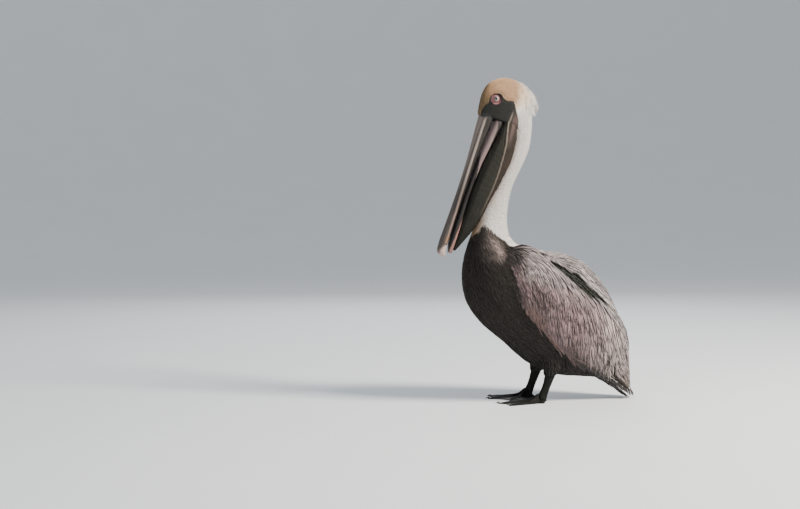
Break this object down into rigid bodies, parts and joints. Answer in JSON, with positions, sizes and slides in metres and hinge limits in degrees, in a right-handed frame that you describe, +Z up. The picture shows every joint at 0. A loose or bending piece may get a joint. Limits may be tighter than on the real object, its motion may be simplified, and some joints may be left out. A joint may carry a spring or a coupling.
{
  "type": "brown pelican",
  "caption": "Life-size brown pelican standing at rest on webbed feet, long bill laid down against its curved white neck, wings folded.",
  "frame": {"origin": "on the floor, under the middle of the bird's outer bounds, in its plane of symmetry", "axes": "-Y the way the bird faces, +X its left side, +Z up from the floor"},
  "size_m": [0.216, 0.456, 0.7172],
  "materials": {
    "crown_feathers": "matt tan and straw feathers",
    "neck_feathers": "soft white feathers",
    "breast_feathers": "matt black-brown feathers",
    "wing_coverts": "silver grey lance-shaped feathers",
    "flight_feathers": "dark worn flight feathers",
    "bill_horn": "worn grey-brown horn",
    "bill_nail": "pale horn",
    "pouch_skin": "dark wrinkled bare skin",
    "eye": "wet, pale iris",
    "leg_skin": "dark scaly skin"
  },
  "bodies": {
    "root": {"bill_lower": "bill_horn", "bill_nail": "bill_nail", "bill_upper": "bill_horn", "crest": "neck_feathers", "eye_left": "eye", "eye_right": "eye", "foot_left": "leg_skin", "foot_right": "leg_skin", "head": "crown_feathers", "mantle": "wing_coverts", "neck_lower": "neck_feathers", "neck_upper": "neck_feathers", "pouch": "pouch_skin", "shank_left": "leg_skin", "shank_right": "leg_skin", "tail": "flight_feathers", "thigh_left": "breast_feathers", "thigh_right": "breast_feathers", "trunk": "breast_feathers", "wing_left": "wing_coverts", "wing_right": "wing_coverts", "wing_tip_left": "flight_feathers", "wing_tip_right": "flight_feathers"}
  },
  "joints": []
}
